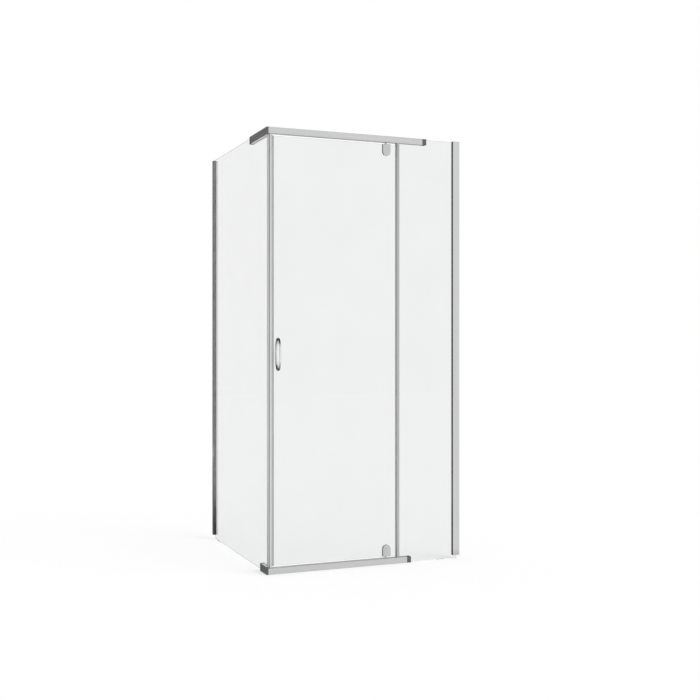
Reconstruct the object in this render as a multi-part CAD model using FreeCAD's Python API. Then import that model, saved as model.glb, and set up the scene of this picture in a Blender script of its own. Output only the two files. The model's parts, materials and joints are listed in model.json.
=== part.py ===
import FreeCAD, Part
import math
import os

# Semi-frameless corner shower screen: a pivot door and a fixed pane on the front, a return pane
# on the left, an L-shaped header and sill at the outer corner, and a wall channel at each wall.
# Frame: +X along the front to its wall, +Y along the return to its wall, +Z up, in millimetres.
# Origin: on the tray, where the middle planes of the front glass and the return glass cross.

# Overall sizes, measured from the outer faces of the rails
overall_height = 1900.0
overall_width = 921.0
overall_depth = 895.5

# Glass
glass_thickness = 6.0
glass_arris = 1.0
glass_edge_gap = 0.3
glass_fit = 0.2

# Header and sill rails: on the front a glass pocket between two hollow chambers, on the return one
# hollow outer leg, which runs on to the front past the end of the front rail, and a thin inner leg
rail_depth = 26.5
rail_height = 26.5
return_rail_height = 33.5
rail_wall = 1.6
rail_roof = 1.0
rail_web = 1.4
rail_radius = 0.8
header_past_jamb = 144.5
header_return_length = 252.0
sill_past_jamb = 68.5
sill_return_length = 93.0

# End caps of the rails
cap_length = 20.0
cap_tongue = 10.0
chamber_fit = 0.1

# Glazing gaskets and infill strips in the rails' pockets
gasket_wall = 2.0
gasket_web = 0.5
infill_height = 8.0
infill_wall = 1.5
infill_fit = 0.1

# Screws of the rails and of the corner keys inside them
screw_fit = 0.1
socket_sides = 6
socket_share = 0.55
socket_depth = 2.0
clamp_screw_radius = 2.5
clamp_screw_recess = 0.5
header_screw_count = 2
sill_screw_count = 1
key_screw_radius = 2.0
key_screw_depth = 3.0
key_cap_gap = 11.4

# Wall channels
front_channel_width = 33.0
return_channel_width = 24.0
channel_front = 13.25
channel_wall = 1.8
channel_web = 2.5
channel_radius = 0.8
channel_lift = 15.0
return_channel_lift = 20.0
return_channel_drop = 7.0
channel_room = 10.0
wall_hole_radius = 2.6
wall_hole_count = 4
wall_hole_inset = 120.0

# Glazing wedges at the mouths of the wall channels, and tapes on the inner face of the glass
wedge_lip = 1.0
wedge_stem = 10.0
wedge_radius = 0.4
tape_thickness = 0.8

# Setting blocks under the fixed panes
setting_length = 40.0
setting_width = 8.0
setting_inset = 40.0

# Uprights: corner post and hinge jamb
upright_inset = 3.25
post_wall = 1.6
post_web = 2.8
post_radius = 2.5
groove_width = 4.0
groove_depth = 9.0
groove_inset = 2.6
stop_length = 6.0
stop_thickness = 1.8
stop_gap = 1.0
jamb_wall = 1.6
jamb_web = 2.5
jamb_radius = 1.0
jamb_pocket = 7.2

# Seals between the door and the uprights
seal_wall = 1.0
seal_nose = 5.4
seal_grip = 4.5
seal_radius = 0.6
magnet_gap = 0.4
magnet_wall = 0.8
strike_depth = 5.0
strike_foot_depth = 2.0
strike_foot_lip = 0.8
bulb_clearance = 0.5
bulb_base_width = 6.0
bulb_base_depth = 2.5
bulb_bore_radius = 1.2

# Door and the fixed part beside it, from the hinge jamb to the front wall
fixed_width = 312.5
door_gap = 8.0
heel_gap = 4.0
heel_length = 46.5

# Pivots
pivot_width = 37.0
pivot_height = 51.5
pivot_gap = 9.0
plate_thickness = 9.0
plate_round = 1.5
clamp_width = 27.0
clamp_height = 44.0
clamp_thickness = 5.0
pad_thickness = 1.0
core_width = 22.0
core_height = 20.0
core_radius = 4.0
notch_clearance = 1.0
pin_collar_radius = 4.5
pin_radius = 3.0
pin_floor = 6.0
pin_end_gap = 1.0
pin_running_fit = 0.05
pin_end_float = 0.2
bush_length = 30.0
bush_headroom = 5.0
bush_roof = 5.0
bush_fit = 0.1
bush_screw_inset = 6.0
pivot_screw_radius = 2.0
pivot_screw_depth = 5.0
pivot_head_radius = 3.6
pivot_head_height = 3.0
pivot_head_recess = 0.5

# Handle: two bows back to back
handle_height = 141.0
handle_centre = 934.5
handle_inset = 24.0
handle_projection = 32.0
handle_width = 9.0
handle_thickness = 8.0
handle_round = 3.0
washer_thickness = 1.0
washer_radius = 4.0
stud_radius = 2.0
stud_seat = 5.0
sleeve_wall = 0.8
sleeve_fit = 0.1

# Limits for picking and rounding edges
fillet_share = 0.45
match_tolerance = 0.01

# Places that follow from the sizes above
glass_half = glass_thickness / 2
rail_half = rail_depth / 2
rail_underside = overall_height - rail_height
return_underside = overall_height - return_rail_height
pocket_half = glass_half + gasket_wall
return_inner = pocket_half + rail_wall
pocket_roof = overall_height - rail_roof
chamber_inner = pocket_half + rail_web
chamber_outer = rail_half - rail_wall
glass_top = pocket_roof - gasket_web
glass_bottom = overall_height - glass_top
front_wall = overall_width - rail_half
return_wall = overall_depth - rail_half
front_mouth = front_wall - front_channel_width
return_mouth = return_wall - return_channel_width
channel_inner = channel_front - channel_wall
tape_face = glass_half + tape_thickness
channel_back = tape_face + channel_wall
front_channel_height = (channel_lift, overall_height)
return_channel_height = (return_channel_lift, overall_height - return_channel_drop)

upright_half = rail_half - upright_inset
post_left = -(glass_half + glass_fit + post_wall)
post_right = glass_half + glass_fit + post_web + strike_depth
post_pocket = -upright_half + groove_depth + post_wall
return_glass_start = post_pocket + glass_edge_gap
strike_half = glass_half + seal_wall
jamb_left = front_wall - fixed_width
jamb_pocket_floor = jamb_left + bulb_base_depth + jamb_web
jamb_right = jamb_pocket_floor + jamb_pocket
fixed_glass_start = jamb_pocket_floor + glass_edge_gap
bulb_height = heel_gap - bulb_clearance

header_end = jamb_left + header_past_jamb - cap_length
header_return_end = header_return_length - rail_half - cap_length
sill_end = jamb_left + sill_past_jamb - cap_length
sill_return_end = sill_return_length - rail_half - cap_length
key_end = sill_return_end - cap_tongue - key_cap_gap
key_screw_place = (chamber_outer + key_end) / 2

door_top = rail_underside - door_gap
door_bottom = rail_height + door_gap
door_left = post_right + magnet_gap + seal_nose + seal_wall
door_right = jamb_left - heel_gap
pivot_x = door_right - heel_length
bush_top = pocket_roof - bush_headroom
bore_top = bush_top - bush_roof
plate_top = rail_underside - pivot_gap
pin_bottom = plate_top - core_height + pin_floor
plate_inner = glass_half + pad_thickness
clamp_outer = plate_inner + clamp_thickness

handle_x = door_left + handle_inset
handle_foot = glass_half + washer_thickness
stud_reach = (handle_height - handle_thickness) / 2
sleeve_radius = stud_radius + screw_fit + sleeve_wall

X_AXIS = FreeCAD.Vector(1, 0, 0)
Y_AXIS = FreeCAD.Vector(0, 1, 0)
Z_AXIS = FreeCAD.Vector(0, 0, 1)
ORIGIN = FreeCAD.Vector(0, 0, 0)
OUTER_SIDE = -1
SIDES = (OUTER_SIDE, 1)


def span(side, near, far):
    """Range of one coordinate between two distances from a middle plane, on one side of it."""
    return tuple(sorted((side * near, side * far)))


def block(x, y, z):
    """Box between the low and the high value of each axis."""
    corner = FreeCAD.Vector(x[0], y[0], z[0])
    return Part.makeBox(x[1] - x[0], y[1] - y[0], z[1] - z[0], corner)


def rounded_block(x, y, z, axis, radius):
    """Box whose four edges along one axis are rounded."""
    body = block(x, y, z)
    sides = [high - low for (low, high), part in zip((x, y, z), axis) if abs(part) < match_tolerance]
    along = [edge for edge in body.Edges if edge.Curve.Direction.cross(axis).Length < match_tolerance]
    return body.makeFillet(min(radius, fillet_share * min(sides)), along)


def edges_across(body, axis, place):
    """Edges of a body that lie in one plane across an axis."""
    chosen = []
    for edge in body.Edges:
        points = [vertex.Point for vertex in edge.Vertexes] + [edge.CenterOfMass]
        if max(abs(point.dot(axis) - place) for point in points) < match_tolerance:
            chosen.append(edge)
    return chosen


def cylinder_y(radius, x, z, y):
    """Round bar along Y."""
    return Part.makeCylinder(radius, y[1] - y[0], FreeCAD.Vector(x, y[0], z), Y_AXIS)


def cylinder_z(radius, x, z):
    """Round bar along Z in the middle plane of the front glass."""
    return Part.makeCylinder(radius, z[1] - z[0], FreeCAD.Vector(x, 0, z[0]), Z_AXIS)


def socket_y(head_radius, x, z, end):
    """Six-sided socket in the outer end of a screw along Y."""
    corner_radius = head_radius * socket_share / math.cos(math.pi / socket_sides)
    corners = []
    for step in range(socket_sides + 1):
        angle = math.tau * step / socket_sides
        corner_x = x + corner_radius * math.cos(angle)
        corner_z = z + corner_radius * math.sin(angle)
        corners.append(FreeCAD.Vector(corner_x, end - socket_depth, corner_z))
    return Part.Face(Part.makePolygon(corners)).extrude(Y_AXIS * socket_depth)


def grub_screw(radius, x, z, y):
    """Screw along Y with no head."""
    return cylinder_y(radius, x, z, y).cut(socket_y(radius, x, z, y[1]))


def cap_screw(radius, head_radius, head_height, x, z, y):
    """Screw along Y with a round head."""
    head = cylinder_y(head_radius, x, z, (y[1] - head_height, y[1]))
    return cylinder_y(radius, x, z, y).fuse(head).cut(socket_y(head_radius, x, z, y[1]))


def to_return(shape):
    """A piece of the front run, turned into the same piece of the return run."""
    return shape.mirror(ORIGIN, FreeCAD.Vector(1, -1, 0) / math.sqrt(2))


def to_sill(shape):
    """A piece at the header, turned into the same piece at the sill."""
    return shape.mirror(Z_AXIS * (overall_height / 2), Z_AXIS)


def to_inside(shape):
    """A piece on the outer face of the front, turned into the same piece on the inner face."""
    return shape.mirror(ORIGIN, Y_AXIS)


def spread(first, last, count):
    """Places that share a run evenly."""
    step = (last - first) / count
    return [first + step / 2 + step * index for index in range(count)]


# Rails and what is inside them

def rail_middle():
    """Middle height of the header."""
    return overall_height - rail_height / 2


def chamber(side, underside, x, clearance):
    """Room in one hollow chamber of a header rail along the front, less a clearance all round."""
    y = span(side, chamber_inner + clearance, chamber_outer - clearance)
    z = (underside + rail_wall + clearance, pocket_roof - clearance)
    return block(x, y, z)


def key_hole(depth):
    """Hole for a key screw, from the pocket of the front header into the corner key."""
    y = (-chamber_inner - depth, -pocket_half)
    return cylinder_y(key_screw_radius + screw_fit, key_screw_place, rail_middle(), y)


def rail_bar(x):
    """Outer form of a front header rail or its end cap."""
    return rounded_block(x, (-rail_half, rail_half), (rail_underside, overall_height), X_AXIS, rail_radius)


def front_rail(end, clamp_places):
    """Front header rail with its screw holes, open at the corner for the return glass."""
    x = (-pocket_half, end)
    body = rail_bar(x)
    z = (rail_underside, pocket_roof)
    body = body.cut(block(x, (-pocket_half, pocket_half), z))
    body = body.cut(block((-pocket_half, pocket_half), (-pocket_half, rail_half), z))
    for side in SIDES:
        body = body.cut(chamber(side, rail_underside, x, 0.0))
    for place in clamp_places:
        hole = cylinder_y(clamp_screw_radius + screw_fit, place, rail_middle(), (pocket_half, rail_half))
        body = body.cut(hole)
    return body.cut(key_hole(0.0))


def return_bar(x):
    """Outer form of a return header rail or its end cap, made in the place of the front one."""
    z = (return_underside, overall_height)
    return rounded_block(x, (-rail_half, return_inner), z, X_AXIS, rail_radius)


def return_rail(end):
    """Return header rail, made in the place of the front one, with a way through for the corner key."""
    x = (-chamber_outer, end)
    body = return_bar(x)
    body = body.cut(block(x, (-pocket_half, pocket_half), (return_underside, pocket_roof)))
    z = (return_underside, overall_height)
    body = body.cut(block((-rail_half, rail_half), (-pocket_half, rail_half), z))
    body = body.cut(chamber(OUTER_SIDE, return_underside, x, 0.0))
    body = body.cut(to_return(chamber(OUTER_SIDE, rail_underside, (-chamber_inner, -pocket_half), 0.0)))
    return body.cut(key_hole(0.0))


def clamp_screws(places):
    """Grub screws that press the glazing gasket or the pivot bush from the inner face."""
    y = (pocket_half, rail_half - clamp_screw_recess)
    return [grub_screw(clamp_screw_radius, place, rail_middle(), y) for place in places]


def key_screw():
    """Grub screw from the pocket of the front header into the corner key."""
    y = (-chamber_inner - key_screw_depth, -pocket_half)
    return grub_screw(key_screw_radius, key_screw_place, rail_middle(), y)


def corner_key():
    """Angle that joins the outer chambers of the header's two rails."""
    leg = chamber(OUTER_SIDE, rail_underside, (chamber_fit - chamber_outer, key_end), chamber_fit)
    key = leg.fuse(to_return(leg)).removeSplitter()
    hole = key_hole(key_screw_depth)
    return key.cut(hole).cut(to_return(hole))


def end_cap(bar, start, underside, sides):
    """Moulded cap on the end of a header rail, slotted for the glass, with tongues in its chambers."""
    x = (start, start + cap_length)
    body = bar(x)
    body = body.makeFillet(rail_radius, edges_across(body, X_AXIS, x[1]))
    slot_half = glass_half + glass_fit
    body = body.cut(block(x, (-slot_half, slot_half), (underside, glass_top + glass_fit)))
    for side in sides:
        body = body.fuse(chamber(side, underside, (start - cap_tongue, start), chamber_fit))
    return body


def front_cap(start):
    """End cap of the front header rail."""
    return end_cap(rail_bar, start, rail_underside, SIDES)


def return_cap(start):
    """End cap of the return header rail, made in the place of the front one."""
    return end_cap(return_bar, start, return_underside, (OUTER_SIDE,))


def corner_cap():
    """Plate that closes the front end of the return header's outer leg, made in the place of the front."""
    z = (return_underside, overall_height)
    return rounded_block((-rail_half, -chamber_outer), (-rail_half, -pocket_half), z, X_AXIS, rail_radius)


def glazing_gasket(x, underside):
    """U section between a header's pocket and the top edge of a fixed pane."""
    body = block(x, (-pocket_half, pocket_half), (underside, pocket_roof))
    return body.cut(block(x, (-glass_half, glass_half), (underside, glass_top)))


def infill(x):
    """U section that closes the header's pocket over the doorway."""
    outer = pocket_half - infill_fit
    inner = outer - infill_wall
    top = rail_underside + infill_height
    body = block(x, (-outer, outer), (rail_underside, top))
    return body.cut(block(x, (-inner, inner), (rail_underside + infill_wall, top)))


def doorway_infills():
    """The two infill strips of the header, one each side of the pivot bush."""
    left = infill((rail_half, pivot_x - bush_length / 2))
    right = infill((pivot_x + bush_length / 2, fixed_glass_start))
    return Part.makeCompound([left, right])


def pivot_bush():
    """Block in the header's pocket with a blind bore for the pivot pin."""
    half = pocket_half - bush_fit
    x = (pivot_x - bush_length / 2, pivot_x + bush_length / 2)
    body = block(x, (-half, half), (rail_underside, bush_top))
    return body.cut(cylinder_z(pin_radius + pin_running_fit, pivot_x, (rail_underside, bore_top)))


# Fixed panes, wall channels and what is in them

def pane(x, z):
    """Glass pane in the front plane with its edges eased."""
    body = block(x, (-glass_half, glass_half), z)
    return body.makeChamfer(glass_arris, body.Edges)


def fixed_pane(start, wall):
    """Pane that runs from an upright into the wall channel at a wall."""
    return pane((start, wall - channel_web - channel_room), (glass_bottom, glass_top))


def wall_hole_places():
    """Heights of the screw holes in a wall channel."""
    first = channel_lift + wall_hole_inset
    step = (overall_height - wall_hole_inset - first) / (wall_hole_count - 1)
    return [first + step * index for index in range(wall_hole_count)]


def wall_channel(wall, mouth, z):
    """Channel on a wall at the end of the front run, with screw holes through its web."""
    body = rounded_block((mouth, wall), (-channel_front, channel_back), z, Z_AXIS, channel_radius)
    body = body.cut(block((mouth, wall - channel_web), (-channel_inner, tape_face), z))
    for place in wall_hole_places():
        base = FreeCAD.Vector(wall - channel_web, 0, place)
        body = body.cut(Part.makeCylinder(wall_hole_radius, channel_web, base, X_AXIS))
    return body


def glazing_wedge(mouth, z):
    """Strip that wedges the outer face of the glass in a wall channel, with a lip over its wall."""
    lip_x = (mouth - wedge_lip, mouth)
    lip = rounded_block(lip_x, (-channel_front, -glass_half), z, Z_AXIS, wedge_radius)
    stem = block((mouth - wedge_radius, mouth + wedge_stem), (-channel_inner, -glass_half), z)
    return lip.fuse(stem).removeSplitter()


def glazing_tape(mouth, z):
    """Tape between the inner face of the glass and the inner wall of a wall channel."""
    return block((mouth, mouth + wedge_stem), (glass_half, tape_face), z)


def setting_block(mouth):
    """Flat packer between the tray and the lower edge of a fixed pane."""
    far = mouth - setting_inset
    return block((far - setting_length, far), (-setting_width / 2, setting_width / 2), (0.0, glass_bottom))


# Uprights and seals

def upright_height():
    """Uprights stand between the sill and the header."""
    return (rail_height, rail_underside)


def strike_room():
    """Keyed groove in the corner post that faces the door's edge."""
    z = upright_height()
    face = post_right - strike_depth
    mouth = block((face, post_right), (-strike_half, strike_half), z)
    foot_half = strike_half + strike_foot_lip
    return mouth.fuse(block((face, face + strike_foot_depth), (-foot_half, foot_half), z)).removeSplitter()


def corner_post():
    """Extrusion on the front edge of the return pane, with a shadow groove and a door stop."""
    z = upright_height()
    y = (-upright_half, upright_half)
    body = rounded_block((post_left, post_right), y, z, Z_AXIS, post_radius)
    stop_y = strike_half + stop_gap
    stop = block((post_right - post_wall, post_right + stop_length), (stop_y, stop_y + stop_thickness), z)
    body = body.fuse(stop)
    groove_x = post_left + groove_inset
    groove = block((groove_x, groove_x + groove_width), (-upright_half, -upright_half + groove_depth), z)
    pocket_side = glass_half + glass_fit
    pocket = block((-pocket_side, pocket_side), (post_pocket, upright_half), z)
    return body.cut(groove).cut(pocket).cut(strike_room())


def strike_magnet():
    """Magnet strip inside the strike seal."""
    half = strike_half - magnet_wall
    x = (post_right - strike_depth + magnet_wall, post_right - magnet_wall)
    return block(x, (-half, half), upright_height())


def strike_seal():
    """Seal keyed into the corner post, around its magnet."""
    return strike_room().cut(strike_magnet())


def bulb_room():
    """Groove in the hinge jamb for the base of the bulb seal."""
    half = bulb_base_width / 2
    return block((jamb_left, jamb_left + bulb_base_depth), (-half, half), upright_height())


def hinge_jamb():
    """Extrusion on the edge of the fixed pane, with a hollow each side of the glass pocket."""
    z = upright_height()
    body = rounded_block((jamb_left, jamb_right), (-upright_half, upright_half), z, Z_AXIS, jamb_radius)
    pocket_side = glass_half + glass_fit
    body = body.cut(block((jamb_pocket_floor, jamb_right), (-pocket_side, pocket_side), z))
    hollow_x = (jamb_left + jamb_wall, jamb_right - jamb_wall)
    for side in SIDES:
        body = body.cut(block(hollow_x, span(side, pocket_side + jamb_wall, upright_half - jamb_wall), z))
    return body.cut(bulb_room())


def bulb_seal():
    """Hollow bulb on the hinge jamb that faces the heel of the door."""
    low, high = upright_height()
    half = bulb_base_width / 2
    first = FreeCAD.Vector(jamb_left, -half, low)
    tip = FreeCAD.Vector(jamb_left - bulb_height, 0, low)
    last = FreeCAD.Vector(jamb_left, half, low)
    outline = Part.Wire([Part.Arc(first, tip, last).toShape(), Part.makeLine(last, first)])
    bulb = Part.Face(outline).extrude(Z_AXIS * (high - low))
    bore = cylinder_z(bulb_bore_radius, jamb_left - bulb_height / 2, (low, high))
    return bulb.fuse(bulb_room()).removeSplitter().cut(bore)


def door_magnet():
    """Magnet strip inside the door's edge seal."""
    x = (post_right + magnet_gap + magnet_wall, post_right + magnet_gap + seal_nose - magnet_wall)
    half = strike_half - magnet_wall
    return block(x, (-half, half), (door_bottom, door_top))


def door_edge_seal():
    """Seal that grips the door's leading edge, with its magnet in a nose that faces the corner post."""
    z = (door_bottom, door_top)
    x = (post_right + magnet_gap, door_left + seal_grip)
    body = rounded_block(x, (-strike_half, strike_half), z, Z_AXIS, seal_radius)
    body = body.cut(block((door_left, x[1]), (-glass_half, glass_half), z))
    return body.cut(door_magnet())


# Door pane, pivots and handle

def notch(clearance):
    """Room for a top pivot's core in the door pane, open at the top edge."""
    half = core_width / 2 + clearance
    x = (pivot_x - half, pivot_x + half)
    z = (plate_top - core_height - clearance, door_top + 2 * core_radius)
    return rounded_block(x, (-plate_inner, plate_inner), z, Y_AXIS, core_radius)


def handle_heights():
    """Heights of the two handle fixings."""
    return [handle_centre + side * stud_reach for side in SIDES]


def door_pane():
    """Door glass with a notch for each pivot and two holes for the handle."""
    body = pane((door_left, door_right), (door_bottom, door_top))
    top_notch = notch(notch_clearance)
    body = body.cut(top_notch).cut(to_sill(top_notch))
    for height in handle_heights():
        hole = cylinder_y(sleeve_radius + sleeve_fit, handle_x, height, (-glass_half, glass_half))
        body = body.cut(hole)
    return body


def tombstone(width, height, y):
    """Plate of a top pivot: square at the top, round at the lower end."""
    half = width / 2
    shoulder = plate_top - height + half
    top_left = FreeCAD.Vector(pivot_x - half, y[0], plate_top)
    top_right = FreeCAD.Vector(pivot_x + half, y[0], plate_top)
    low_right = FreeCAD.Vector(pivot_x + half, y[0], shoulder)
    tip = FreeCAD.Vector(pivot_x, y[0], plate_top - height)
    low_left = FreeCAD.Vector(pivot_x - half, y[0], shoulder)
    edges = [
        Part.makeLine(top_left, top_right),
        Part.makeLine(top_right, low_right),
        Part.Arc(low_right, tip, low_left).toShape(),
        Part.makeLine(low_left, top_left),
    ]
    return Part.Face(Part.Wire(edges)).extrude(Y_AXIS * (y[1] - y[0]))


def face_plate(width, height, thickness):
    """Plate of a top pivot on the outer face of the door, with the rim of its face rounded."""
    face = -plate_inner - thickness
    body = tombstone(width, height, (face, -plate_inner))
    rim = edges_across(body, Y_AXIS, face)
    return body.makeFillet(min(plate_round, fillet_share * thickness), rim)


def pivot_screw_places():
    """Places of the two clamp screws across a pivot."""
    offset = (pin_radius + core_width / 2) / 2
    return [pivot_x + side * offset for side in SIDES]


def pivot_screw_height():
    """Height of a top pivot's clamp screws, halfway down its core."""
    return plate_top - core_height / 2


def pivot_core():
    """Block that passes through the notch in the glass and carries the pin."""
    x = (pivot_x - core_width / 2, pivot_x + core_width / 2)
    z = (plate_top - core_height, plate_top)
    return rounded_block(x, (-plate_inner, plate_inner), z, Y_AXIS, core_radius)


def pivot_body():
    """Outer plate and core of a top pivot, bored for the pin and the clamp screws."""
    body = face_plate(pivot_width, pivot_height, plate_thickness).fuse(pivot_core())
    body = body.cut(cylinder_z(pin_radius, pivot_x, (pin_bottom, plate_top)))
    hole_y = (-plate_inner - pivot_screw_depth, plate_inner)
    for place in pivot_screw_places():
        body = body.cut(cylinder_y(pivot_screw_radius + screw_fit, place, pivot_screw_height(), hole_y))
    return body


def pivot_clamp_plate():
    """Inner clamp plate of a top pivot, counterbored for the screw heads."""
    body = to_inside(face_plate(clamp_width, clamp_height, clamp_thickness))
    head_y = (clamp_outer - pivot_head_recess - pivot_head_height, clamp_outer)
    for place in pivot_screw_places():
        height = pivot_screw_height()
        shank_y = (plate_inner, clamp_outer)
        body = body.cut(cylinder_y(pivot_screw_radius + screw_fit, place, height, shank_y))
        body = body.cut(cylinder_y(pivot_head_radius + screw_fit, place, height, head_y))
    return body


def pivot_pads():
    """Pads between the glass and the two plates of a top pivot."""
    y = (-plate_inner, -glass_half)
    room = notch(notch_clearance)
    outer = tombstone(pivot_width, pivot_height, y).cut(room)
    inner = to_inside(tombstone(clamp_width, clamp_height, y).cut(room))
    return Part.makeCompound([outer, inner])


def pivot_screws():
    """Two socket screws from the inner plate into the core of a top pivot."""
    y = (-plate_inner - pivot_screw_depth, clamp_outer - pivot_head_recess)
    height = pivot_screw_height()
    screws = []
    for place in pivot_screw_places():
        screws.append(cap_screw(pivot_screw_radius, pivot_head_radius, pivot_head_height, place, height, y))
    return Part.makeCompound(screws)


def pivot_pin():
    """Pin of the top pivot: seated in the core, with a collar in the gap and its end in the bush."""
    shoulder = rail_underside - pin_end_float
    body = cylinder_z(pin_radius, pivot_x, (pin_bottom, bore_top - pin_end_gap))
    return body.fuse(cylinder_z(pin_collar_radius, pivot_x, (plate_top, shoulder)))


def half_ellipse(x, rise, reach):
    """Half of an ellipse that bows outwards from the handle's foot plane."""
    centre = FreeCAD.Vector(x, -handle_foot, handle_centre)
    return Part.Ellipse(centre + Z_AXIS * rise, centre - Y_AXIS * reach, centre).toShape(0, math.pi)


def handle_bow():
    """Outer bow handle: a rounded bar along half an ellipse, with a threaded seat in each foot."""
    x = handle_x - handle_width / 2
    outer_rise = handle_height / 2
    outer_reach = handle_projection - washer_thickness
    outer = half_ellipse(x, outer_rise, outer_reach)
    inner = half_ellipse(x, outer_rise - handle_thickness, outer_reach - handle_thickness)
    feet = [Part.makeLine(outer.Vertexes[end].Point, inner.Vertexes[end].Point) for end in range(2)]
    outline = Part.Wire(Part.__sortEdges__([outer, inner] + feet))
    body = Part.Face(outline).extrude(X_AXIS * handle_width)
    bowed = [edge for edge in body.Edges if isinstance(edge.Curve, Part.Ellipse)]
    body = body.makeFillet(min(handle_round, fillet_share * min(handle_width, handle_thickness)), bowed)
    for height in handle_heights():
        seat_y = (-handle_foot - stud_seat, -handle_foot)
        body = body.cut(cylinder_y(stud_radius, handle_x, height, seat_y))
    return body


def handle_studs():
    """Studs through the glass that hold the two bows together."""
    y = (-handle_foot - stud_seat, handle_foot + stud_seat)
    return Part.makeCompound([cylinder_y(stud_radius, handle_x, z, y) for z in handle_heights()])


def ring_y(outer_radius, x, z, y):
    """Ring around a handle stud."""
    return cylinder_y(outer_radius, x, z, y).cut(cylinder_y(stud_radius + screw_fit, x, z, y))


def handle_sleeves():
    """Sleeves that keep the studs off the glass."""
    y = (-glass_half, glass_half)
    return Part.makeCompound([ring_y(sleeve_radius, handle_x, z, y) for z in handle_heights()])


def handle_washers():
    """Washers between the glass and the feet of the bows."""
    washers = []
    for side in SIDES:
        y = span(side, glass_half, handle_foot)
        washers += [ring_y(washer_radius, handle_x, z, y) for z in handle_heights()]
    return Part.makeCompound(washers)


# The whole screen

def frame_nodes():
    """Rails, keys, caps, gaskets, infills and bushes."""
    bush_places = [pivot_x + side * (bush_length / 2 - bush_screw_inset) for side in SIDES]
    header_places = bush_places + spread(fixed_glass_start, header_end - cap_tongue, header_screw_count)
    sill_places = bush_places + spread(fixed_glass_start, sill_end - cap_tongue, sill_screw_count)
    sill_screws = [to_sill(screw) for screw in clamp_screws(sill_places)]
    key_screws = [key_screw(), to_return(key_screw())]
    key_screws += [to_sill(screw) for screw in key_screws]
    header_return_gasket = glazing_gasket((rail_half, header_return_end), return_underside)
    sill_return_gasket = glazing_gasket((rail_half, sill_return_end), return_underside)
    return {
        "header_rail": front_rail(header_end, header_places),
        "header_return_rail": to_return(return_rail(header_return_end)),
        "sill_rail": to_sill(front_rail(sill_end, sill_places)),
        "sill_return_rail": to_sill(to_return(return_rail(sill_return_end))),
        "header_corner_key": corner_key(),
        "sill_corner_key": to_sill(corner_key()),
        "corner_key_screws": Part.makeCompound(key_screws),
        "rail_clamp_screws": Part.makeCompound(clamp_screws(header_places) + sill_screws),
        "header_end_cap": front_cap(header_end),
        "header_return_end_cap": to_return(return_cap(header_return_end)),
        "header_corner_cap": to_return(corner_cap()),
        "sill_end_cap": to_sill(front_cap(sill_end)),
        "sill_return_end_cap": to_sill(to_return(return_cap(sill_return_end))),
        "sill_corner_cap": to_sill(to_return(corner_cap())),
        "header_gasket": glazing_gasket((fixed_glass_start, header_end), rail_underside),
        "header_return_gasket": to_return(header_return_gasket),
        "sill_gasket": to_sill(glazing_gasket((fixed_glass_start, sill_end), rail_underside)),
        "sill_return_gasket": to_sill(to_return(sill_return_gasket)),
        "header_infill": doorway_infills(),
        "sill_infill": to_sill(doorway_infills()),
        "top_pivot_bush": pivot_bush(),
        "bottom_pivot_bush": to_sill(pivot_bush()),
    }


def fixed_nodes():
    """Panes, wall channels, uprights and their seals."""
    setting_blocks = [setting_block(front_mouth), to_return(setting_block(return_mouth))]
    return_channel = wall_channel(return_wall, return_mouth, return_channel_height)
    return {
        "fixed_pane": fixed_pane(fixed_glass_start, front_wall),
        "return_pane": to_return(fixed_pane(return_glass_start, return_wall)),
        "front_wall_channel": wall_channel(front_wall, front_mouth, front_channel_height),
        "return_wall_channel": to_return(return_channel),
        "front_glazing_wedge": glazing_wedge(front_mouth, front_channel_height),
        "front_glazing_tape": glazing_tape(front_mouth, front_channel_height),
        "return_glazing_wedge": to_return(glazing_wedge(return_mouth, return_channel_height)),
        "return_glazing_tape": to_return(glazing_tape(return_mouth, return_channel_height)),
        "setting_blocks": Part.makeCompound(setting_blocks),
        "corner_post": corner_post(),
        "strike_seal": strike_seal(),
        "strike_magnet": strike_magnet(),
        "hinge_jamb": hinge_jamb(),
        "hinge_bulb_seal": bulb_seal(),
    }


def door_nodes():
    """Everything that turns with the door."""
    nodes = {
        "door_pane": door_pane(),
        "door_edge_seal": door_edge_seal(),
        "door_magnet": door_magnet(),
        "outer_handle": handle_bow(),
        "inner_handle": to_inside(handle_bow()),
        "handle_studs": handle_studs(),
        "handle_sleeves": handle_sleeves(),
        "handle_washers": handle_washers(),
    }
    pivot_pieces = {
        "pivot_body": pivot_body(),
        "pivot_clamp_plate": pivot_clamp_plate(),
        "pivot_pads": pivot_pads(),
        "pivot_pin": pivot_pin(),
        "pivot_screws": pivot_screws(),
    }
    for name, shape in pivot_pieces.items():
        nodes["top_" + name] = shape
        nodes["bottom_" + name] = to_sill(shape)
    return nodes


os.makedirs("parts", exist_ok=True)
for make_nodes in (frame_nodes, fixed_nodes, door_nodes):
    for node_name, node_shape in make_nodes().items():
        node_shape.exportStep("parts/" + node_name + ".step")
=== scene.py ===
import json
import math

import bpy
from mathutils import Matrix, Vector

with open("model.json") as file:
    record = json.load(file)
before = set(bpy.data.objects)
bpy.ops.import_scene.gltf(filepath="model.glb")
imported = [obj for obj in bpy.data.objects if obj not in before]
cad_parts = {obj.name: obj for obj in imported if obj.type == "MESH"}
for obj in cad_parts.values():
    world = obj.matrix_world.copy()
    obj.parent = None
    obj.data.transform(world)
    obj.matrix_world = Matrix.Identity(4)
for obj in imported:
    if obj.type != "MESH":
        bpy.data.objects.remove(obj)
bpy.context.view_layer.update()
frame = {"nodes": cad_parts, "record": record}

# Camera at the photograph's viewing angle, in metres, degrees and millimetres of lens
CAMERA_PLACE = (-1.36455, -4.25085, 0.9962)
CAMERA_TURN = -22.237
CAMERA_LENS = 53.86
CAMERA_SENSOR = 36.0
CAMERA_SHIFT_UP = -0.0145

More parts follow.
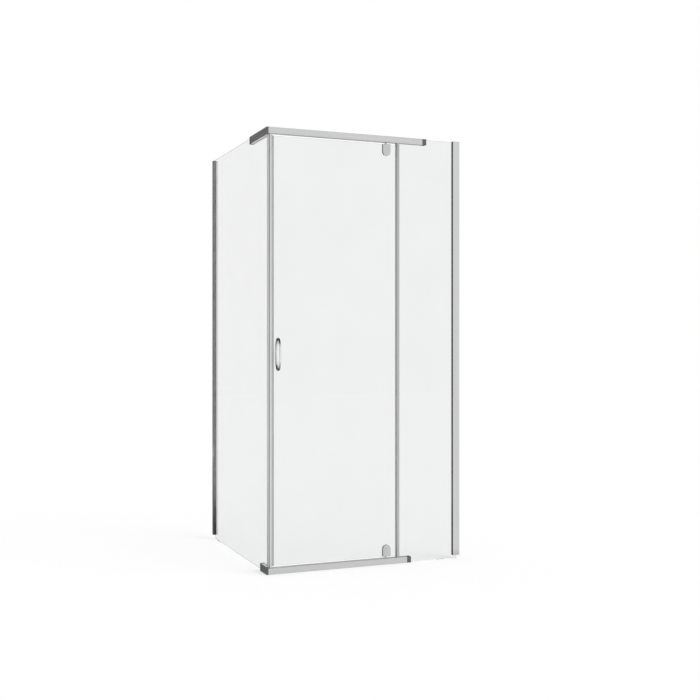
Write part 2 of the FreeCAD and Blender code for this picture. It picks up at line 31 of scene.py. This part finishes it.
# Floor, world and lamp, in metres and degrees
FLOOR_HALF = 14.0
FLOOR_DROP = 0.0004
FLOOR_GRAIN = 60.0
FLOOR_GREYS = (0.57, 0.585)
FLOOR_ROUGHNESS = 0.9
FLOOR_LIFT = 0.45
AMBIENT = 0.75
KEY_DIRECTION = (-0.45, 0.6, -0.66)
KEY_ANGLE = 45.0
KEY_STRENGTH = 1.0

# Curved cards behind the object, turned from +Y towards +X, with edges as shares of the radius along X
CARD_RADIUS = 5.0
CARD_LOW = -1.0
CARD_HIGH = 5.0
CARD_STEPS = 12
CARD_TURNS = {"left_card": (-55.0, -6.0), "right_card": (18.5, 62.0)}
CARD_DARK = 0.15
CARD_GREY = 0.5
CARD_EDGES = (0.3, 0.42)

# Flat sheets on the floor and overhead, in metres
SHEET_HALF = 4.5
SHEET_RISE = 0.0002
SHEET_EDGE = 0.0135
SHEET_FRONT = 0.15
SHEET_SIDE = 1.6
SHEET_DARK = 0.15
SHEET_PALE = 0.79
ROOF_DARK = 0.1
ROOF_BACK = 1.5


# Node helpers

WHITE = (1.0, 1.0, 1.0, 1.0)

# Range that most values of a noise lie in, and levels of its detail
NOISE_LOW = 0.3
NOISE_HIGH = 0.7
WAVY = 1.0
COARSE = 2.0
PLAIN = 3.0
FINE = 4.0

# Places of the colour sockets of a Mix node
MIX_FIRST = 6
MIX_SECOND = 7
MIX_RESULT = 2


class Finish:
    """One procedural material: its node tree and its Principled shader."""

    def __init__(self, name):
        self.material = bpy.data.materials.new(name)
        self.material.use_nodes = True
        self.tree = self.material.node_tree
        self.tree.nodes.clear()
        self.output = self.node("ShaderNodeOutputMaterial", {})
        self.shader = self.node("ShaderNodeBsdfPrincipled", {})
        self.link(self.shader.outputs["BSDF"], self.output.inputs["Surface"])
        self.coordinates = self.node("ShaderNodeTexCoord", {}).outputs["Object"]

    def node(self, kind, values, **settings):
        """Adds a node, with a number, colour or socket for each named input."""
        made = self.tree.nodes.new(kind)
        for name, value in settings.items():
            setattr(made, name, value)
        for name, value in values.items():
            self.give(made.inputs[name], value)
        return made

    def link(self, source, target):
        self.tree.links.new(source, target)

    def give(self, target, value):
        """Sets an input to a plain value, or links it to a socket."""
        if isinstance(value, bpy.types.NodeSocket):
            self.link(value, target)
        else:
            target.default_value = value

    def set(self, **values):
        """Sets inputs of the Principled shader, with spaces written as underscores."""
        for name, value in values.items():
            self.give(self.shader.inputs[name.replace("_", " ")], value)

    def compute(self, operation, *inputs):
        """Result of a Math node."""
        return self.node("ShaderNodeMath", dict(enumerate(inputs)), operation=operation).outputs["Value"]

    def place(self, axis):
        """Coordinate along one axis of the object, X, Y or Z."""
        return self.node("ShaderNodeSeparateXYZ", {"Vector": self.coordinates}).outputs[axis]

    def noise(self, scale, detail=PLAIN):
        """Noise whose scale along each axis is given in cycles per metre."""
        stretched = self.node("ShaderNodeMapping", {"Vector": self.coordinates, "Scale": scale})
        values = {"Vector": stretched.outputs["Vector"], "Scale": 1.0, "Detail": detail}
        return self.node("ShaderNodeTexNoise", values).outputs["Fac"]

    def spread(self, value, low, high, from_low=NOISE_LOW, from_high=NOISE_HIGH):
        """Maps a value, by default a noise, to a range."""
        values = {"Value": value, "From Min": from_low, "From Max": from_high}
        values.update({"To Min": low, "To Max": high})
        return self.node("ShaderNodeMapRange", values).outputs["Result"]

    def blend(self, factor, first, second):
        """Mixes two colours by a factor."""
        mixed = self.node("ShaderNodeMix", {}, data_type="RGBA")
        self.give(mixed.inputs["Factor"], factor)
        self.give(mixed.inputs[MIX_FIRST], first)
        self.give(mixed.inputs[MIX_SECOND], second)
        return mixed.outputs[MIX_RESULT]

    def mottle(self, noise, dark, light):
        """Mixes two colours by a noise."""
        return self.blend(self.spread(noise, 0.0, 1.0), dark, light)

    def bump(self, height, strength, distance):
        """Feeds a height to the shader's normal."""
        values = {"Height": height, "Strength": strength, "Distance": distance}
        self.link(self.node("ShaderNodeBump", values).outputs["Normal"], self.shader.inputs["Normal"])

    def show(self, surface):
        """Shows another shader than the plain Principled one."""
        self.link(surface, self.output.inputs["Surface"])


def grey(value, warmth=0.0):
    """A grey, a little warmer or cooler."""
    return (value * (1 + warmth), value, value * (1 - warmth), 1.0)


def greys(levels, warmth=0.0):
    """A dark and a light grey of the same warmth."""
    return [grey(level, warmth) for level in levels]


def even(scale):
    """The same scale along all three axes."""
    return (scale, scale, scale)


# Drawn aluminium, with scales along and across its lines, shares of its level and bumps in metres

ALONG = {"x": (1, 0, 0), "y": (0, 1, 0), "z": (0, 0, 1)}
LINE_SCALES = (1.5, 900.0)
LINE_BUMP = {"strength": 0.12, "distance": 0.0002}
BAND_SCALES = (0.6, 90.0)
BAND_DARK = 0.95
BAND_LIGHT = 1.05
BAND_WARMTH = -0.006
STAIN_SCALE = 7.0
STAIN_LEVEL = 0.92
STAIN_WARMTH = 0.004
STAIN_SHARE = 0.3
DRAWN_ANISOTROPY = 0.6
DRAWN_TURN = 0.25


def drawn_scale(axis, scales):
    """Scale of a noise that is drawn out along one axis."""
    along, across = scales
    return tuple(along if part else across for part in ALONG[axis])


def aluminium(name, axis, level, smooth, rough):
    """Bright anodised extrusion with fine lines drawn along its length."""
    finish = Finish("aluminium_" + name)
    lines = finish.noise(drawn_scale(axis, LINE_SCALES), FINE)
    bands = finish.noise(drawn_scale(axis, BAND_SCALES), COARSE)
    stains = finish.noise(even(STAIN_SCALE))
    banded = finish.mottle(bands, *greys((BAND_DARK * level, BAND_LIGHT * level), BAND_WARMTH))
    stained = grey(STAIN_LEVEL * level, STAIN_WARMTH)
    tone = finish.blend(finish.spread(stains, 0.0, STAIN_SHARE), banded, stained)
    finish.set(Base_Color=tone, Metallic=1.0, Roughness=finish.spread(lines, smooth, rough))
    finish.set(Anisotropic=DRAWN_ANISOTROPY, Anisotropic_Rotation=DRAWN_TURN)
    tangent = finish.node("ShaderNodeCombineXYZ", dict(zip("XYZ", ALONG[axis])))
    finish.set(Tangent=tangent.outputs["Vector"])
    finish.bump(lines, **LINE_BUMP)
    return finish.material


# Polished plating, whose feet get a painted dark reflection that grows with the distance from a middle
# height, in metres

SMEAR_SCALE = (40.0, 40.0, 18.0)
SMEAR_DARK = 0.96
SMEAR_LIGHT = 1.04
PLATED_WARMTH = -0.01
HAIR_SCALE = (1500.0, 1500.0, 60.0)
HAIR_BUMP = {"strength": 0.04, "distance": 0.0001}
# Grey of the painted dark reflection at the handle's feet, where chrome mirrors dark surroundings
FOOT_PAINTED_REFLECTION = 0.22
FOOT_START = 0.028
FOOT_END = 0.06


def middle_height(node):
    """Height of the middle of a node's mesh."""
    heights = [vertex.co.z for vertex in frame["nodes"][node].data.vertices]
    return (min(heights) + max(heights)) / 2


def paint_dark_reflection_at_feet(finish, tone, middle):
    """Tone with a painted dark reflection towards the feet above and below a middle height."""
    away = finish.compute("ABSOLUTE", finish.compute("SUBTRACT", finish.place("Z"), middle))
    share = finish.spread(away, 0.0, 1.0, FOOT_START, FOOT_END)
    # The grey at the feet is painted reflection, not a colour of the plating
    return finish.blend(share, tone, grey(FOOT_PAINTED_REFLECTION, PLATED_WARMTH))


def chrome(name, level, smooth, rough, middle=None):
    """Polished plating with faint smears and hairline marks, and a painted dark reflection at the feet if
    a middle height is given.
    """
    finish = Finish("chrome_" + name)
    smears = finish.noise(SMEAR_SCALE, FINE)
    hairs = finish.noise(HAIR_SCALE, COARSE)
    tone = finish.mottle(smears, *greys((SMEAR_DARK * level, SMEAR_LIGHT * level), PLATED_WARMTH))
    if middle is not None:
        tone = paint_dark_reflection_at_feet(finish, tone, middle)
    finish.set(Base_Color=tone, Metallic=1.0, Roughness=finish.spread(smears, smooth, rough))
    finish.bump(hairs, **HAIR_BUMP)
    return finish.material


# Steel and zinc, with bumps in metres

TURNED_SCALE = (300.0, 2500.0, 300.0)
TURNED_GREYS = (0.5, 0.62)
TURNED_ROUGHNESS = (0.22, 0.38)
TURNED_BUMP = {"strength": 0.15, "distance": 0.0001}
CAST_SCALE = 900.0
CAST_GREYS = (0.42, 0.54)
CAST_ROUGHNESS = (0.45, 0.65)
CAST_BUMP = {"strength": 0.3, "distance": 0.0002}


def bare_metal(name, grain, detail, levels, roughness, bump):
    """Metal whose tone, roughness and height follow one grain."""
    finish = Finish(name)
    marks = finish.noise(grain, detail)
    finish.set(Base_Color=finish.mottle(marks, *greys(levels)), Metallic=1.0)
    finish.set(Roughness=finish.spread(marks, *roughness))
    finish.bump(marks, **bump)
    return finish.material


def steel():
    """Turned stainless steel of screws, pins and studs."""
    return bare_metal("steel", TURNED_SCALE, PLAIN, TURNED_GREYS, TURNED_ROUGHNESS, TURNED_BUMP)


def zinc():
    """Tumbled die casting of the corner keys."""
    return bare_metal("zinc", even(CAST_SCALE), FINE, CAST_GREYS, CAST_ROUGHNESS, CAST_BUMP)


# Plastics, with grains in cycles per metre

CLOUD_SCALE = 14.0
GRAIN_SPREAD = 0.07
GRAIN_DEPTH = 0.0002


def moulded(name, dark, light, grain, roughness, bump, warmth=0.0):
    """Moulded or extruded plastic with a fine grain, between two levels of grey."""
    finish = Finish(name)
    speck = finish.noise(even(grain), FINE)
    cloud = finish.noise(even(CLOUD_SCALE))
    tone = finish.mottle(cloud, *greys((dark, light), warmth))
    gloss = finish.spread(speck, roughness - GRAIN_SPREAD, roughness + GRAIN_SPREAD)
    finish.set(Base_Color=tone, Roughness=gloss)
    finish.bump(speck, bump, GRAIN_DEPTH)
    return finish


def cap_plastic():
    """Dark satin moulding of the end caps and corner caps."""
    return moulded("cap_plastic", dark=0.1, light=0.13, grain=2200.0, roughness=0.5, bump=0.2).material


def rubber():
    """Dull extruded rubber of the tapes and pads."""
    finish = moulded("rubber", dark=0.1, light=0.12, grain=1600.0, roughness=0.68, bump=0.25)
    finish.set(Specular_IOR_Level=0.35)
    return finish.material


def wedge_pvc():
    """Silver-effect strip in the mouths of the wall channels."""
    finish = moulded("wedge_pvc", dark=0.21, light=0.25, grain=1400.0, roughness=0.2, bump=0.06)
    finish.set(Metallic=1.0)
    return finish.material


def infill_pvc():
    """Satin grey strip that closes the rails' pockets."""
    return moulded("infill_pvc", dark=0.44, light=0.5, grain=1400.0, roughness=0.42, bump=0.1).material


def seal_pvc():
    """Translucent extrusion of the seals and gaskets."""
    finish = moulded("seal_pvc", dark=0.7, light=0.76, grain=900.0, roughness=0.3, bump=0.08, warmth=-0.01)
    finish.set(Transmission_Weight=0.35, IOR=1.45)
    return finish.material


def magnet():
    """Magnet strip in its grey sleeve."""
    return moulded("magnet", dark=0.58, light=0.63, grain=2600.0, roughness=0.6, bump=0.3).material


def nylon():
    """Off-white moulded bushes and sleeves."""
    finish = moulded("nylon", dark=0.72, light=0.8, grain=1100.0, roughness=0.42, bump=0.08, warmth=0.02)
    finish.set(Subsurface_Weight=0.15, Subsurface_Scale=0.002)
    return finish.material


def clear_plastic():
    """Clear moulded washers and packers."""
    finish = moulded("clear_plastic", dark=0.78, light=0.85, grain=800.0, roughness=0.2, bump=0.05)
    finish.set(Transmission_Weight=0.75, IOR=1.46)
    return finish.material


# Glass, whose edges are told from its faces by how squarely they face its thickness

GLASS_IOR = 1.5
GLASS_CLEAR = (0.975, 0.98, 0.978, 1.0)
GLASS_EDGE = (0.3, 0.36, 0.34, 1.0)
EDGE_SQUARENESS = 0.3
FACE_SQUARENESS = 0.9
FILM_SCALE = 5.0
FILM_DARK = 0.992
FILM_LIGHT = 1.008
FILM_WARMTH = -0.004
WAVE_SCALE = (3.0, 3.0, 14.0)
WAVE_BUMP = {"strength": 0.02, "distance": 0.001}


def glass(axis, level):
    """Clear toughened glass with polished edges and a faint roller wave, open to lamps and to gloss."""
    finish = Finish("glass_" + axis)
    normal = finish.node("ShaderNodeTexCoord", {}).outputs["Normal"]
    towards = {0: normal, 1: ALONG[axis]}
    facing = finish.node("ShaderNodeVectorMath", towards, operation="DOT_PRODUCT").outputs["Value"]
    squareness = finish.compute("ABSOLUTE", facing)
    film = finish.noise(even(FILM_SCALE), FINE)
    face = finish.mottle(film, *greys((FILM_DARK * level, FILM_LIGHT * level), FILM_WARMTH))
    share = finish.spread(squareness, 0.0, 1.0, EDGE_SQUARENESS, FACE_SQUARENESS)
    tone = finish.blend(share, GLASS_EDGE, face)
    finish.set(Base_Color=tone, Roughness=0.0, IOR=GLASS_IOR, Transmission_Weight=1.0)
    finish.bump(finish.noise(WAVE_SCALE, WAVY), **WAVE_BUMP)
    clear = finish.node("ShaderNodeBsdfTransparent", {"Color": GLASS_CLEAR}).outputs["BSDF"]
    path = finish.node("ShaderNodeLightPath", {})
    whole = finish.shader.outputs["BSDF"]
    shown = whole
    for ray, seen in (("Is Reflection Ray", clear), ("Is Singular Ray", whole), ("Is Shadow Ray", clear)):
        values = {0: path.outputs[ray], 1: shown, 2: seen}
        shown = finish.node("ShaderNodeMixShader", values).outputs["Shader"]
    finish.show(shown)
    return finish.material


# Every node gets a finish: metal and glass by their group, the rest by their slot

DRAWN_NODES = {
    "front_rails": ("header_rail", "sill_rail"),
    "return_rails": ("header_return_rail", "sill_return_rail"),
    "channels": ("front_wall_channel", "return_wall_channel"),
    "post": ("corner_post",),
    "jamb": ("hinge_jamb",),
}
DRAWN_FINISH = {
    "front_rails": {"axis": "x", "level": 0.67, "smooth": 0.26, "rough": 0.4},
    "return_rails": {"axis": "y", "level": 0.67, "smooth": 0.26, "rough": 0.4},
    "channels": {"axis": "z", "level": 0.63, "smooth": 0.17, "rough": 0.28},
    # The post's higher level is painted light: the same aluminium as the rails, made lighter.
    "post": {"axis": "z", "level": 0.76, "smooth": 0.5, "rough": 0.62},
    "jamb": {"axis": "z", "level": 0.57, "smooth": 0.52, "rough": 0.64},
}
PLATED_NODES = {
    "handles": ("outer_handle", "inner_handle"),
    "pivots": (
        "top_pivot_body", "bottom_pivot_body", "top_pivot_clamp_plate", "bottom_pivot_clamp_plate",
    ),
}
PLATED_FINISH = {
    "handles": {"level": 0.76, "smooth": 0.04, "rough": 0.1, "middle": middle_height("outer_handle")},
    "pivots": {"level": 0.55, "smooth": 0.07, "rough": 0.16},
}
GLASS_AXIS = {"door_pane": "y", "fixed_pane": "y", "return_pane": "x"}
# The return pane's lower level (x) is painted shade: the same glass as the front panes, made darker.
GLASS_LEVEL = {"y": 0.865, "x": 0.835}
MAKERS = {
    "steel": steel,
    "zinc": zinc,
    "cap_plastic": cap_plastic,
    "rubber": rubber,
    "wedge_pvc": wedge_pvc,
    "infill_pvc": infill_pvc,
    "seal_pvc": seal_pvc,
    "magnet": magnet,
    "nylon": nylon,
    "clear_plastic": clear_plastic,
}


def dress():
    """Puts a procedural finish on every node."""
    metal = {}
    for name, nodes in DRAWN_NODES.items():
        metal.update(dict.fromkeys(nodes, aluminium(name, **DRAWN_FINISH[name])))
    for name, nodes in PLATED_NODES.items():
        metal.update(dict.fromkeys(nodes, chrome(name, **PLATED_FINISH[name])))
    panes = {axis: glass(axis, level) for axis, level in GLASS_LEVEL.items()}
    made = {slot: maker() for slot, maker in MAKERS.items()}
    for subpart in frame["record"]["subparts"]:
        node = subpart["node"]
        if node in GLASS_AXIS:
            material = panes[GLASS_AXIS[node]]
        elif node in metal:
            material = metal[node]
        else:
            material = made[subpart["material_slot"]]
        mesh = frame["nodes"][node].data
        mesh.materials.clear()
        mesh.materials.append(material)


# Stage, light and camera

def mesh_object(name, points, faces):
    """A plain mesh object in the scene."""
    mesh = bpy.data.meshes.new(name)
    mesh.from_pydata(points, [], faces)
    made = bpy.data.objects.new(name, mesh)
    bpy.context.scene.collection.objects.link(made)
    return made


def flat_object(name, x, y, height):
    """A level rectangle between two places along X and two along Y."""
    corners = [(x[0], y[0], height), (x[1], y[0], height), (x[1], y[1], height), (x[0], y[1], height)]
    return mesh_object(name, corners, [(0, 1, 2, 3)])


def seen_directly(tree):
    """1 for rays from the camera, from gloss and through glass, otherwise 0."""
    path = tree.nodes.new("ShaderNodeLightPath")
    total = path.outputs["Is Camera Ray"]
    for name in ("Is Glossy Ray", "Is Transmission Ray"):
        larger = tree.nodes.new("ShaderNodeMath")
        larger.operation = "MAXIMUM"
        tree.links.new(total, larger.inputs[0])
        tree.links.new(path.outputs[name], larger.inputs[1])
        total = larger.outputs["Value"]
    return total


def make_floor():
    """Pale floor that keeps the shadow and melts into the white background."""
    whole = (-FLOOR_HALF, FLOOR_HALF)
    floor = flat_object("floor", whole, whole, -FLOOR_DROP)
    finish = Finish("floor")
    pale = finish.mottle(finish.noise(even(FLOOR_GRAIN)), *greys(FLOOR_GREYS))
    finish.set(Base_Color=pale, Roughness=FLOOR_ROUGHNESS, Specular_IOR_Level=0.0)
    lift = finish.compute("MULTIPLY", seen_directly(finish.tree), FLOOR_LIFT)
    finish.set(Emission_Color=WHITE, Emission_Strength=lift)
    floor.data.materials.append(finish.material)


def make_world():
    """White background wherever it is seen, and a softer level of fill light."""
    world = bpy.data.worlds.new("studio")
    world.use_nodes = True
    tree = world.node_tree
    tree.nodes.clear()
    fill = tree.nodes.new("ShaderNodeBackground")
    fill.inputs["Strength"].default_value = AMBIENT
    white = tree.nodes.new("ShaderNodeBackground")
    for background in (fill, white):
        background.inputs["Color"].default_value = WHITE
    mixed = tree.nodes.new("ShaderNodeMixShader")
    tree.links.new(seen_directly(tree), mixed.inputs[0])
    tree.links.new(fill.outputs["Background"], mixed.inputs[1])
    tree.links.new(white.outputs["Background"], mixed.inputs[2])
    output = tree.nodes.new("ShaderNodeOutputWorld")
    tree.links.new(mixed.outputs["Shader"], output.inputs["Surface"])
    bpy.context.scene.world = world


def mirrored_only(made, finish, level):
    """Shows an object as an even light to rays off brushed or plated metal, and to no others."""
    made.visible_camera = False
    made.visible_diffuse = False
    made.visible_transmission = False
    made.visible_shadow = False
    shade = finish.node("ShaderNodeEmission", {"Color": WHITE, "Strength": level})
    clear = finish.node("ShaderNodeBsdfTransparent", {"Color": WHITE})
    sharp = finish.node("ShaderNodeLightPath", {}).outputs["Is Singular Ray"]
    values = {0: sharp, 1: shade.outputs["Emission"], 2: clear.outputs["BSDF"]}
    finish.show(finish.node("ShaderNodeMixShader", values).outputs["Shader"])
    made.data.materials.append(finish.material)


def make_card(name, start, end):
    """Curved card behind the object, dark on the left and grey on the right."""
    points = []
    for step in range(CARD_STEPS + 1):
        angle = math.radians(start + (end - start) * step / CARD_STEPS)
        for height in (CARD_LOW, CARD_HIGH):
            points.append((CARD_RADIUS * math.sin(angle), CARD_RADIUS * math.cos(angle), height))
    faces = [(2 * step, 2 * step + 2, 2 * step + 3, 2 * step + 1) for step in range(CARD_STEPS)]
    finish = Finish(name)
    low, high = (CARD_RADIUS * edge for edge in CARD_EDGES)
    level = finish.spread(finish.place("X"), CARD_DARK, CARD_GREY, low, high)
    mirrored_only(mesh_object(name, points, faces), finish, level)


def make_sheet(name, x, y, height, level):
    """Flat sheet of one level of grey."""
    mirrored_only(flat_object(name, x, y, height), Finish(name), level)


def make_sheets():
    """A pale sheet on the floor in front, dark ones on the left and behind, and a dark one overhead."""
    whole = (-SHEET_HALF, SHEET_HALF)
    left = (-SHEET_SIDE, -SHEET_EDGE)
    right = (-SHEET_EDGE, SHEET_SIDE)
    height = SHEET_RISE - FLOOR_DROP
    make_sheet("front_sheet", whole, (-SHEET_FRONT, -SHEET_EDGE), height, SHEET_PALE)
    make_sheet("left_sheet", left, (-SHEET_EDGE, SHEET_HALF), height, SHEET_DARK)
    make_sheet("back_sheet", right, (SHEET_EDGE, SHEET_SIDE), height, SHEET_DARK)
    make_sheet("roof_sheet", whole, (-SHEET_HALF, ROOF_BACK), CARD_HIGH, ROOF_DARK)


def make_key():
    """Large soft lamp from the front, right and above."""
    lamp = bpy.data.lights.new("key", "SUN")
    lamp.angle = math.radians(KEY_ANGLE)
    lamp.energy = KEY_STRENGTH
    key = bpy.data.objects.new("key", lamp)
    bpy.context.scene.collection.objects.link(key)
    key.rotation_euler = Vector(KEY_DIRECTION).to_track_quat("-Z", "Y").to_euler()
    key.visible_glossy = False


def make_camera():
    """Level camera at the photograph's place."""
    data = bpy.data.cameras.new("camera")
    data.lens = CAMERA_LENS
    data.sensor_width = CAMERA_SENSOR
    data.shift_y = CAMERA_SHIFT_UP
    camera = bpy.data.objects.new("camera", data)
    bpy.context.scene.collection.objects.link(camera)
    camera.location = CAMERA_PLACE
    camera.rotation_euler = (math.pi / 2, 0.0, math.radians(CAMERA_TURN))
    bpy.context.scene.camera = camera


dress()
make_floor()
make_world()
for card_name, card_turn in CARD_TURNS.items():
    make_card(card_name, *card_turn)
make_sheets()
make_key()
make_camera()
bpy.context.scene.view_settings.view_transform = "Standard"
